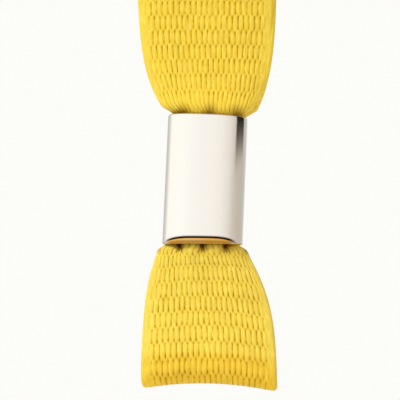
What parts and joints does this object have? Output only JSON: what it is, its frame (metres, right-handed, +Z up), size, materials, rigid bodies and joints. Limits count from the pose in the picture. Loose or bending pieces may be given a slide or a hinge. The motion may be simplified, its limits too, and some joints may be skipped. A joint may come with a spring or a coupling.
{
  "type": "webbing strap with crimp sleeve",
  "caption": "Short yellow woven webbing strap with a hanging loop, gathered through a polished flattened metal crimp sleeve into a small hook loop.",
  "frame": {"origin": "inside top of the hanging loop, the line on which the strap hangs, at mid width", "axes": "+Z up along the strap, +X across the webbing's width, -Y towards the front of the sleeve"},
  "size_m": [0.015, 0.018, 0.1005],
  "materials": {
    "webbing": "coarse woven polyester with long warp floats, slight sheen",
    "sleeve_metal": "bright nickel plate, polished"
  },
  "bodies": {
    "strap": {"hanging_loop": "webbing"},
    "sleeve": {"crimp_sleeve": "sleeve_metal", "front_tail": "webbing", "through_run": "webbing", "return_tail": "webbing"},
    "hook_end": {"hook_loop": "webbing"}
  },
  "joints": [
    {"name": "upper_flex", "type": "hinge", "parent": "strap", "child": "sleeve", "pos_m": [0, 0, -0.068], "axis": [1, 0, 0], "range_deg": [-90, 90], "stiffness_Nm_per_rad": 0.0004},
    {"name": "lower_flex", "type": "hinge", "parent": "sleeve", "child": "hook_end", "pos_m": [0, 0, -0.08618], "axis": [1, 0, 0], "range_deg": [-90, 90], "stiffness_Nm_per_rad": 0.0004}
  ]
}
